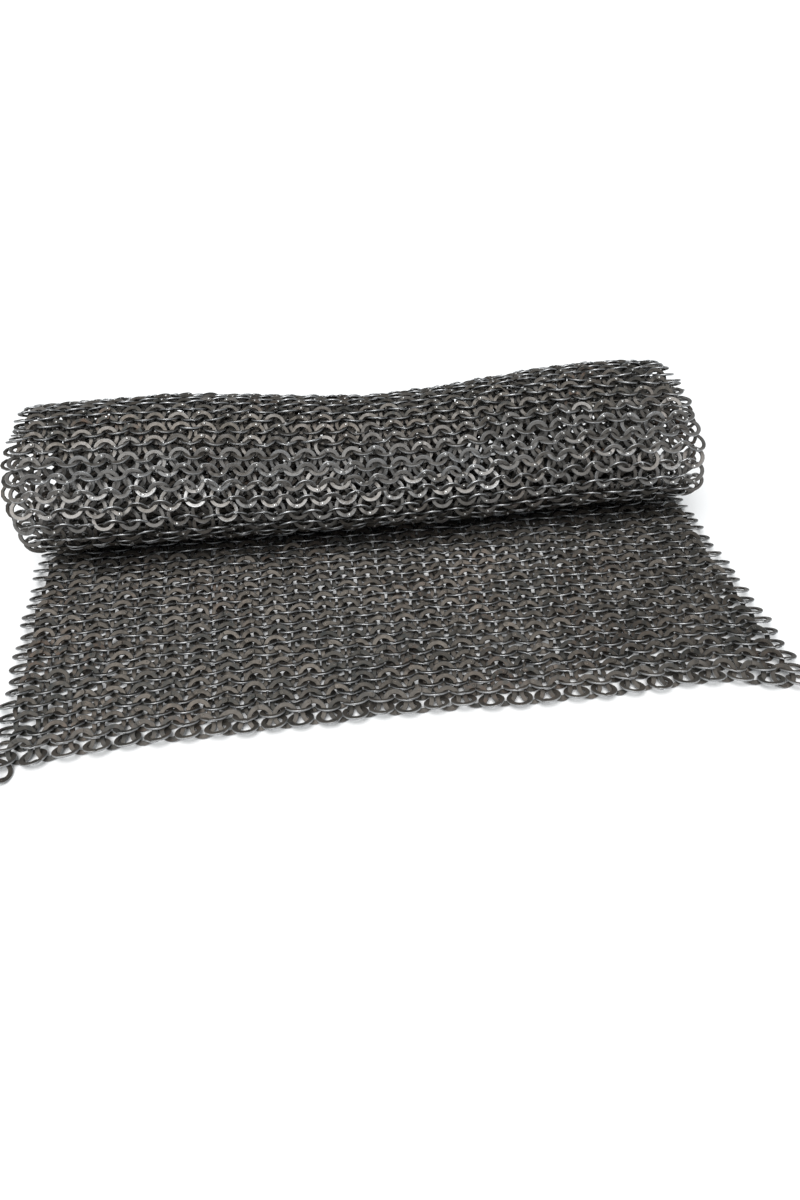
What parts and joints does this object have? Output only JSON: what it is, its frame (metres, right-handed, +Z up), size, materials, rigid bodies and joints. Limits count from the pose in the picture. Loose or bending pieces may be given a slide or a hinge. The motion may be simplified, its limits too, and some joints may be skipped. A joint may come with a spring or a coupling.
{
  "type": "mail sheet",
  "caption": "Sheet of riveted flat-ring mail, four-in-one weave, rolled up from the back with a flat apron in front.",
  "frame": {"origin": "on the ground under the middle of the whole object", "axes": "+X along the roll, to the right seen from the hem; +Y from the hem to the roll; +Z up"},
  "size_m": [0.3946, 0.2335, 0.0827],
  "materials": {
    "hem_steel": "oiled dark steel, worn bright on the edges",
    "rivet_steel": "oiled dark steel, domes rubbed bright",
    "loose_ring_steel": "oiled dark steel",
    "apron_mail": "oiled dark steel with brown patina",
    "roll_mail": "oiled dark steel, rubbed brighter on the outside",
    "inner_mail": "oiled dark steel"
  },
  "bodies": {
    "seat": {"seat_band": "apron_mail"},
    "apron_band_09": {"apron_band_09": "apron_mail"},
    "apron_band_08": {"apron_band_08": "apron_mail"},
    "apron_band_07": {"apron_band_07": "apron_mail"},
    "apron_band_06": {"apron_band_06": "apron_mail"},
    "apron_band_05": {"apron_band_05": "apron_mail"},
    "apron_band_04": {"apron_band_04": "apron_mail"},
    "apron_band_03": {"apron_band_03": "apron_mail"},
    "apron_band_02": {"apron_band_02": "apron_mail"},
    "hem": {"hem_rings": "hem_steel", "hem_rivets": "rivet_steel"},
    "corner_ring": {"corner_ring": "loose_ring_steel"},
    "loose_hem_ring": {"loose_hem_ring": "loose_ring_steel"},
    "outer_band_01": {"outer_band_01": "roll_mail"},
    "outer_band_02": {"outer_band_02": "roll_mail"},
    "outer_band_03": {"outer_band_03": "roll_mail"},
    "outer_band_04": {"outer_band_04": "roll_mail"},
    "outer_band_05": {"outer_band_05": "roll_mail"},
    "outer_band_06": {"outer_band_06": "roll_mail"},
    "outer_band_07": {"outer_band_07": "roll_mail"},
    "outer_band_08": {"outer_band_08": "roll_mail"},
    "outer_band_09": {"outer_band_09": "roll_mail"},
    "outer_band_10": {"outer_band_10": "roll_mail"},
    "outer_band_11": {"outer_band_11": "roll_mail"},
    "outer_band_12": {"outer_band_12": "roll_mail"},
    "outer_band_13": {"outer_band_13": "roll_mail"},
    "outer_band_14": {"outer_band_14": "roll_mail"},
    "outer_band_15": {"outer_band_15": "roll_mail"},
    "outer_band_16": {"outer_band_16": "roll_mail"},
    "outer_band_17": {"outer_band_17": "roll_mail"},
    "outer_band_18": {"outer_band_18": "roll_mail"},
    "outer_band_19": {"outer_band_19": "roll_mail"},
    "inner_band_01": {"inner_band_01": "inner_mail"},
    "inner_band_02": {"inner_band_02": "inner_mail"},
    "inner_band_03": {"inner_band_03": "inner_mail"},
    "inner_band_04": {"inner_band_04": "inner_mail"},
    "inner_band_05": {"inner_band_05": "inner_mail"},
    "inner_band_06": {"inner_band_06": "inner_mail"},
    "inner_band_07": {"inner_band_07": "inner_mail"},
    "inner_band_08": {"inner_band_08": "inner_mail"},
    "inner_band_09": {"inner_band_09": "inner_mail"},
    "inner_band_10": {"inner_band_10": "inner_mail"},
    "inner_band_11": {"inner_band_11": "inner_mail"},
    "inner_band_12": {"inner_band_12": "inner_mail"},
    "inner_band_13": {"inner_band_13": "inner_mail"},
    "inner_band_14": {"inner_band_14": "inner_mail"},
    "inner_band_15": {"inner_band_15": "inner_mail"},
    "inner_band_16": {"inner_band_16": "inner_mail"},
    "inner_band_17": {"inner_band_17": "inner_mail"},
    "inner_band_18": {"inner_band_18": "inner_mail"},
    "inner_band_19": {"inner_band_19": "inner_mail"},
    "inner_band_20": {"inner_band_20": "inner_mail"},
    "inner_band_21": {"inner_band_21": "inner_mail"},
    "inner_band_22": {"inner_band_22": "inner_mail"},
    "inner_band_23": {"inner_band_23": "inner_mail"},
    "inner_band_24": {"inner_band_24": "inner_mail"}
  },
  "joints": [
    {"name": "apron_curl", "type": "hinge", "parent": "seat", "child": "apron_band_09", "pos_m": [0, 0.0004, 0.00335], "axis": [-1, 0, 0], "range_deg": [0, 14]},
    {"name": "apron_fold_08", "type": "hinge", "parent": "apron_band_09", "child": "apron_band_08", "pos_m": [0, -0.01145, 0.00335], "axis": [-1, 0, 0], "range_deg": [0, 14]},
    {"name": "apron_fold_07", "type": "hinge", "parent": "apron_band_08", "child": "apron_band_07", "pos_m": [0, -0.0233, 0.00335], "axis": [-1, 0, 0], "range_deg": [0, 14]},
    {"name": "apron_fold_06", "type": "hinge", "parent": "apron_band_07", "child": "apron_band_06", "pos_m": [0, -0.03515, 0.00335], "axis": [-1, 0, 0], "range_deg": [0, 14]},
    {"name": "apron_fold_05", "type": "hinge", "parent": "apron_band_06", "child": "apron_band_05", "pos_m": [0, -0.047, 0.00335], "axis": [-1, 0, 0], "range_deg": [0, 14]},
    {"name": "apron_fold_04", "type": "hinge", "parent": "apron_band_05", "child": "apron_band_04", "pos_m": [0, -0.05885, 0.00335], "axis": [-1, 0, 0], "range_deg": [0, 14]},
    {"name": "apron_fold_03", "type": "hinge", "parent": "apron_band_04", "child": "apron_band_03", "pos_m": [0, -0.0707, 0.00335], "axis": [-1, 0, 0], "range_deg": [0, 14]},
    {"name": "apron_fold_02", "type": "hinge", "parent": "apron_band_03", "child": "apron_band_02", "pos_m": [0, -0.08255, 0.00335], "axis": [-1, 0, 0], "range_deg": [0, 14]},
    {"name": "apron_fold_01", "type": "hinge", "parent": "apron_band_02", "child": "hem", "pos_m": [0, -0.0944, 0.00335], "axis": [-1, 0, 0], "range_deg": [0, 14]},
    {"name": "corner_swing", "type": "hinge", "parent": "hem", "child": "corner_ring", "pos_m": [-0.1911, -0.1069, 0.00427], "axis": [-1, 0, 0], "range_deg": [0, 74]},
    {"name": "loose_hem_swing", "type": "hinge", "parent": "hem", "child": "loose_hem_ring", "pos_m": [0.12285, -0.10294, 0.00083], "axis": [-1, 0, 0], "range_deg": [0, 45]},
    {"name": "outer_01_bend", "type": "hinge", "parent": "seat", "child": "outer_band_01", "pos_m": [0, 0.0557, 0.00335], "axis": [-1, 0, 0], "range_deg": [0, 4.9]},
    {"name": "outer_02_bend", "type": "hinge", "parent": "outer_band_01", "child": "outer_band_02", "pos_m": [0, 0.06825, 0.00443], "axis": [-1, 0, 0], "range_deg": [0, 10.01]},
    {"name": "outer_03_bend", "type": "hinge", "parent": "outer_band_02", "child": "outer_band_03", "pos_m": [0, 0.08043, 0.00767], "axis": [-1, 0, 0], "range_deg": [0, 10.71]},
    {"name": "outer_04_bend", "type": "hinge", "parent": "outer_band_03", "child": "outer_band_04", "pos_m": [0, 0.09179, 0.01311], "axis": [-1, 0, 0], "range_deg": [0, 12.1]},
    {"name": "outer_05_bend", "type": "hinge", "parent": "outer_band_04", "child": "outer_band_05", "pos_m": [0, 0.10176, 0.02081], "axis": [-1, 0, 0], "range_deg": [0, 14.85]},
    {"name": "outer_06_bend", "type": "hinge", "parent": "outer_band_05", "child": "outer_band_06", "pos_m": [0, 0.10943, 0.03081], "axis": [-1, 0, 0], "range_deg": [0, 20.69]},
    {"name": "unroll", "type": "hinge", "parent": "outer_band_06", "child": "outer_band_07", "pos_m": [0, 0.11307, 0.04287], "axis": [-1, 0, 0], "range_deg": [0, 29.06]},
    {"name": "outer_08_bend", "type": "hinge", "parent": "outer_band_07", "child": "outer_band_08", "pos_m": [0, 0.11039, 0.05519], "axis": [-1, 0, 0], "range_deg": [0, 25.31]},
    {"name": "outer_09_bend", "type": "hinge", "parent": "outer_band_08", "child": "outer_band_09", "pos_m": [0, 0.10271, 0.06517], "axis": [-1, 0, 0], "range_deg": [0, 17.2]},
    {"name": "outer_10_bend", "type": "hinge", "parent": "outer_band_09", "child": "outer_band_10", "pos_m": [0, 0.09242, 0.07245], "axis": [-1, 0, 0], "range_deg": [0, 13.67]},
    {"name": "outer_11_bend", "type": "hinge", "parent": "outer_band_10", "child": "outer_band_11", "pos_m": [0, 0.08071, 0.07708], "axis": [-1, 0, 0], "range_deg": [0, 12.19]},
    {"name": "outer_12_bend", "type": "hinge", "parent": "outer_band_11", "child": "outer_band_12", "pos_m": [0, 0.06827, 0.07914], "axis": [-1, 0, 0], "range_deg": [0, 11.68]},
    {"name": "outer_13_bend", "type": "hinge", "parent": "outer_band_12", "child": "outer_band_13", "pos_m": [0, 0.05568, 0.07864], "axis": [-1, 0, 0], "range_deg": [0, 11.84]},
    {"name": "outer_14_bend", "type": "hinge", "parent": "outer_band_13", "child": "outer_band_14", "pos_m": [0, 0.04346, 0.07557], "axis": [-1, 0, 0], "range_deg": [0, 12.72]},
    {"name": "outer_15_bend", "type": "hinge", "parent": "outer_band_14", "child": "outer_band_15", "pos_m": [0, 0.03222, 0.06988], "axis": [-1, 0, 0], "range_deg": [0, 14.7]},
    {"name": "outer_16_bend", "type": "hinge", "parent": "outer_band_15", "child": "outer_band_16", "pos_m": [0, 0.02278, 0.06153], "axis": [-1, 0, 0], "range_deg": [0, 18.91]},
    {"name": "outer_17_bend", "type": "hinge", "parent": "outer_band_16", "child": "outer_band_17", "pos_m": [0, 0.01656, 0.05058], "axis": [-1, 0, 0], "range_deg": [0, 27.26]},
    {"name": "outer_18_bend", "type": "hinge", "parent": "outer_band_17", "child": "outer_band_18", "pos_m": [0, 0.01605, 0.03799], "axis": [-1, 0, 0], "range_deg": [0, 30.95]},
    {"name": "outer_19_bend", "type": "hinge", "parent": "outer_band_18", "child": "outer_band_19", "pos_m": [0, 0.02208, 0.02692], "axis": [-1, 0, 0], "range_deg": [0, 22.44]},
    {"name": "inner_01_bend", "type": "hinge", "parent": "outer_band_19", "child": "inner_band_01", "pos_m": [0, 0.03188, 0.019], "axis": [-1, 0, 0], "range_deg": [0, 14.39]},
    {"name": "inner_02_bend", "type": "hinge", "parent": "inner_band_01", "child": "inner_band_02", "pos_m": [0, 0.03951, 0.0155], "axis": [-1, 0, 0], "range_deg": [0, 10.19]},
    {"name": "inner_03_bend", "type": "hinge", "parent": "inner_band_02", "child": "inner_band_03", "pos_m": [0, 0.04765, 0.01341], "axis": [-1, 0, 0], "range_deg": [0, 9.7]},
    {"name": "inner_04_bend", "type": "hinge", "parent": "inner_band_03", "child": "inner_band_04", "pos_m": [0, 0.05602, 0.01272], "axis": [-1, 0, 0], "range_deg": [0, 9.57]},
    {"name": "inner_05_bend", "type": "hinge", "parent": "inner_band_04", "child": "inner_band_05", "pos_m": [0, 0.06439, 0.01343], "axis": [-1, 0, 0], "range_deg": [0, 9.78]},
    {"name": "inner_06_bend", "type": "hinge", "parent": "inner_band_05", "child": "inner_band_06", "pos_m": [0, 0.07252, 0.01555], "axis": [-1, 0, 0], "range_deg": [0, 10.34]},
    {"name": "inner_07_bend", "type": "hinge", "parent": "inner_band_06", "child": "inner_band_07", "pos_m": [0, 0.08014, 0.0191], "axis": [-1, 0, 0], "range_deg": [0, 11.39]},
    {"name": "inner_08_bend", "type": "hinge", "parent": "inner_band_07", "child": "inner_band_08", "pos_m": [0, 0.0869, 0.02407], "axis": [-1, 0, 0], "range_deg": [0, 13.21]},
    {"name": "inner_09_bend", "type": "hinge", "parent": "inner_band_08", "child": "inner_band_09", "pos_m": [0, 0.09236, 0.03046], "axis": [-1, 0, 0], "range_deg": [0, 16.28]},
    {"name": "inner_10_bend", "type": "hinge", "parent": "inner_band_09", "child": "inner_band_10", "pos_m": [0, 0.0958, 0.03812], "axis": [-1, 0, 0], "range_deg": [0, 20.75]},
    {"name": "inner_11_bend", "type": "hinge", "parent": "inner_band_10", "child": "inner_band_11", "pos_m": [0, 0.09631, 0.04651], "axis": [-1, 0, 0], "range_deg": [0, 23.2]},
    {"name": "inner_12_bend", "type": "hinge", "parent": "inner_band_11", "child": "inner_band_12", "pos_m": [0, 0.09347, 0.05442], "axis": [-1, 0, 0], "range_deg": [0, 20.03]},
    {"name": "inner_13_bend", "type": "hinge", "parent": "inner_band_12", "child": "inner_band_13", "pos_m": [0, 0.0881, 0.06087], "axis": [-1, 0, 0], "range_deg": [0, 16.04]},
    {"name": "inner_14_bend", "type": "hinge", "parent": "inner_band_13", "child": "inner_band_14", "pos_m": [0, 0.08115, 0.0656], "axis": [-1, 0, 0], "range_deg": [0, 13.8]},
    {"name": "inner_15_bend", "type": "hinge", "parent": "inner_band_14", "child": "inner_band_15", "pos_m": [0, 0.07328, 0.06853], "axis": [-1, 0, 0], "range_deg": [0, 12.76]},
    {"name": "inner_16_bend", "type": "hinge", "parent": "inner_band_15", "child": "inner_band_16", "pos_m": [0, 0.06496, 0.06965], "axis": [-1, 0, 0], "range_deg": [0, 12.49]},
    {"name": "inner_17_bend", "type": "hinge", "parent": "inner_band_16", "child": "inner_band_17", "pos_m": [0, 0.05659, 0.06895], "axis": [-1, 0, 0], "range_deg": [0, 12.84]},
    {"name": "inner_18_bend", "type": "hinge", "parent": "inner_band_17", "child": "inner_band_18", "pos_m": [0, 0.04858, 0.0664], "axis": [-1, 0, 0], "range_deg": [0, 13.88]},
    {"name": "inner_19_bend", "type": "hinge", "parent": "inner_band_18", "child": "inner_band_19", "pos_m": [0, 0.04142, 0.06201], "axis": [-1, 0, 0], "range_deg": [0, 15.86]},
    {"name": "inner_20_bend", "type": "hinge", "parent": "inner_band_19", "child": "inner_band_20", "pos_m": [0, 0.03573, 0.05583], "axis": [-1, 0, 0], "range_deg": [0, 19.15]},
    {"name": "inner_21_bend", "type": "hinge", "parent": "inner_band_20", "child": "inner_band_21", "pos_m": [0, 0.03238, 0.04813], "axis": [-1, 0, 0], "range_deg": [0, 23.32]},
    {"name": "inner_22_bend", "type": "hinge", "parent": "inner_band_21", "child": "inner_band_22", "pos_m": [0, 0.03235, 0.03973], "axis": [-1, 0, 0], "range_deg": [0, 24.85]},
    {"name": "inner_23_bend", "type": "hinge", "parent": "inner_band_22", "child": "inner_band_23", "pos_m": [0, 0.03585, 0.0321], "axis": [-1, 0, 0], "range_deg": [0, 22.18]},
    {"name": "inner_24_bend", "type": "hinge", "parent": "inner_band_23", "child": "inner_band_24", "pos_m": [0, 0.04198, 0.02635], "axis": [-1, 0, 0], "range_deg": [0, 19.29]}
  ],
  "couplings": [
    {"joint": "apron_fold_08", "follows": "apron_curl", "ratio": 1},
    {"joint": "apron_fold_07", "follows": "apron_curl", "ratio": 1},
    {"joint": "apron_fold_06", "follows": "apron_curl", "ratio": 1},
    {"joint": "apron_fold_05", "follows": "apron_curl", "ratio": 1},
    {"joint": "apron_fold_04", "follows": "apron_curl", "ratio": 1},
    {"joint": "apron_fold_03", "follows": "apron_curl", "ratio": 1},
    {"joint": "apron_fold_02", "follows": "apron_curl", "ratio": 1},
    {"joint": "apron_fold_01", "follows": "apron_curl", "ratio": 1},
    {"joint": "outer_01_bend", "follows": "unroll", "ratio": 0.16845},
    {"joint": "outer_02_bend", "follows": "unroll", "ratio": 0.34433},
    {"joint": "outer_03_bend", "follows": "unroll", "ratio": 0.3681},
    {"joint": "outer_04_bend", "follows": "unroll", "ratio": 0.41611},
    {"joint": "outer_05_bend", "follows": "unroll", "ratio": 0.51079},
    {"joint": "outer_06_bend", "follows": "unroll", "ratio": 0.71184},
    {"joint": "outer_08_bend", "follows": "unroll", "ratio": 0.8708},
    {"joint": "outer_09_bend", "follows": "unroll", "ratio": 0.59176},
    {"joint": "outer_10_bend", "follows": "unroll", "ratio": 0.4703},
    {"joint": "outer_11_bend", "follows": "unroll", "ratio": 0.41928},
    {"joint": "outer_12_bend", "follows": "unroll", "ratio": 0.40156},
    {"joint": "outer_13_bend", "follows": "unroll", "ratio": 0.40721},
    {"joint": "outer_14_bend", "follows": "unroll", "ratio": 0.43755},
    {"joint": "outer_15_bend", "follows": "unroll", "ratio": 0.50562},
    {"joint": "outer_16_bend", "follows": "unroll", "ratio": 0.65056},
    {"joint": "outer_17_bend", "follows": "unroll", "ratio": 0.93798},
    {"joint": "outer_18_bend", "follows": "unroll", "ratio": 1.0648},
    {"joint": "outer_19_bend", "follows": "unroll", "ratio": 0.77195},
    {"joint": "inner_01_bend", "follows": "unroll", "ratio": 0.49498},
    {"joint": "inner_02_bend", "follows": "unroll", "ratio": 0.35044},
    {"joint": "inner_03_bend", "follows": "unroll", "ratio": 0.3334},
    {"joint": "inner_04_bend", "follows": "unroll", "ratio": 0.32917},
    {"joint": "inner_05_bend", "follows": "unroll", "ratio": 0.33621},
    {"joint": "inner_06_bend", "follows": "unroll", "ratio": 0.35566},
    {"joint": "inner_07_bend", "follows": "unroll", "ratio": 0.39183},
    {"joint": "inner_08_bend", "follows": "unroll", "ratio": 0.45421},
    {"joint": "inner_09_bend", "follows": "unroll", "ratio": 0.55994},
    {"joint": "inner_10_bend", "follows": "unroll", "ratio": 0.71383},
    {"joint": "inner_11_bend", "follows": "unroll", "ratio": 0.79826},
    {"joint": "inner_12_bend", "follows": "unroll", "ratio": 0.689},
    {"joint": "inner_13_bend", "follows": "unroll", "ratio": 0.55173},
    {"joint": "inner_14_bend", "follows": "unroll", "ratio": 0.47463},
    {"joint": "inner_15_bend", "follows": "unroll", "ratio": 0.43893},
    {"joint": "inner_16_bend", "follows": "unroll", "ratio": 0.42953},
    {"joint": "inner_17_bend", "follows": "unroll", "ratio": 0.44165},
    {"joint": "inner_18_bend", "follows": "unroll", "ratio": 0.47737},
    {"joint": "inner_19_bend", "follows": "unroll", "ratio": 0.54537},
    {"joint": "inner_20_bend", "follows": "unroll", "ratio": 0.65888},
    {"joint": "inner_21_bend", "follows": "unroll", "ratio": 0.8021},
    {"joint": "inner_22_bend", "follows": "unroll", "ratio": 0.85509},
    {"joint": "inner_23_bend", "follows": "unroll", "ratio": 0.76287},
    {"joint": "inner_24_bend", "follows": "unroll", "ratio": 0.66369}
  ]
}
